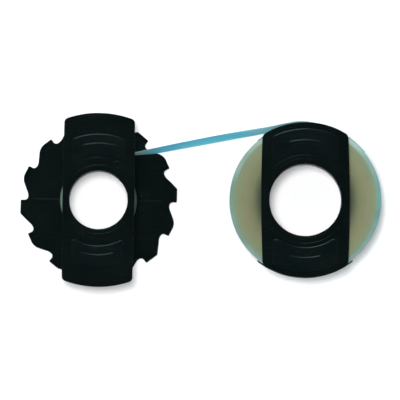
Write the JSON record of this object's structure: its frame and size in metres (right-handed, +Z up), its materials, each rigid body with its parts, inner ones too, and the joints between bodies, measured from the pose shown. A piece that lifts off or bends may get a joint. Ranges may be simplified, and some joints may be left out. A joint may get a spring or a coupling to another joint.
{
  "type": "typewriter correction tape set",
  "caption": "Lift-off correction tape refill: ratchet take-up spool and full supply spool lying flat, joined by a taut strip of blue leader film.",
  "frame": {"origin": "under the middle of the set's box, on the surface that it lies on", "axes": "+X from the take-up spool to the supply spool, +Y towards the side on which the film runs, +Z up along both spool axes"},
  "size_m": [0.0768, 0.0368, 0.0114],
  "materials": {
    "black_plastic": "moulded black plastic, satin to semi-gloss",
    "leader_film": "thin translucent sky-blue film, glossy",
    "lift_off_tape": "edges of wound adhesive lift-off tape, olive beige, matt",
    "adhesive_tab": "off-white adhesive tape"
  },
  "bodies": {
    "leader": {"leader_span": "leader_film"},
    "takeup": {"takeup_ratchet_spool": "black_plastic", "takeup_ear_flange": "black_plastic", "takeup_anchor_tab": "adhesive_tab", "takeup_leader_turns": "leader_film"},
    "supply": {"supply_flanged_hub": "black_plastic", "supply_ear_flange": "black_plastic", "supply_core_tab": "adhesive_tab", "supply_tape_roll": "lift_off_tape", "splice_patch": "adhesive_tab", "supply_leader_turns": "leader_film"}
  },
  "joints": [
    {"name": "supply_spin", "type": "hinge", "parent": "leader", "child": "supply", "pos_m": [0.02225, 0, 0.0057], "axis": [0, 0, 1], "continuous": true},
    {"name": "takeup_spin", "type": "hinge", "parent": "leader", "child": "takeup", "pos_m": [-0.02165, 0, 0.0057], "axis": [0, 0, 1], "continuous": true}
  ],
  "couplings": [
    {"joint": "takeup_spin", "follows": "supply_spin", "ratio": 1.9398}
  ]
}
